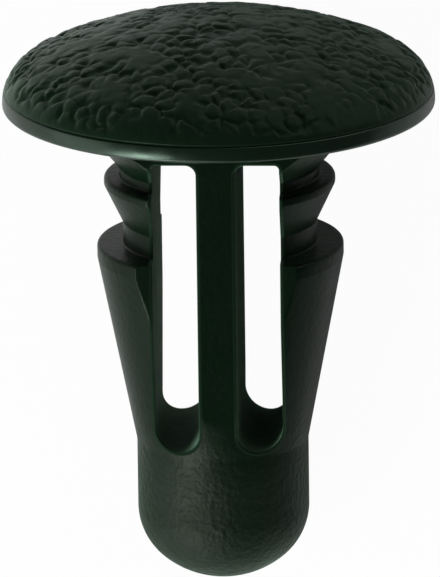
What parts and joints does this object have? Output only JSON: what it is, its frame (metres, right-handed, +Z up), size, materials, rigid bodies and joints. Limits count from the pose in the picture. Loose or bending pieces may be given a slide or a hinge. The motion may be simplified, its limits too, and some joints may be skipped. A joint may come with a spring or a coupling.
{
  "type": "push rivet",
  "caption": "One-piece plastic push rivet: domed, grained head on a toothed shank split into springing legs, pushed into a hole to hold trim panels.",
  "frame": {"origin": "centre of the footprint, on the floor that the rivet lies on", "axes": "+Y towards the head along the floor, +X across both legs, +Z up; the rivet's own axis rises towards the head by its lean"},
  "size_m": [0.018, 0.0242, 0.0173],
  "materials": {
    "rivet_plastic": "moulded dark green-black plastic, satin shank and rim, grained dome"
  },
  "bodies": {
    "root": {"push_rivet": "rivet_plastic"}
  },
  "joints": []
}
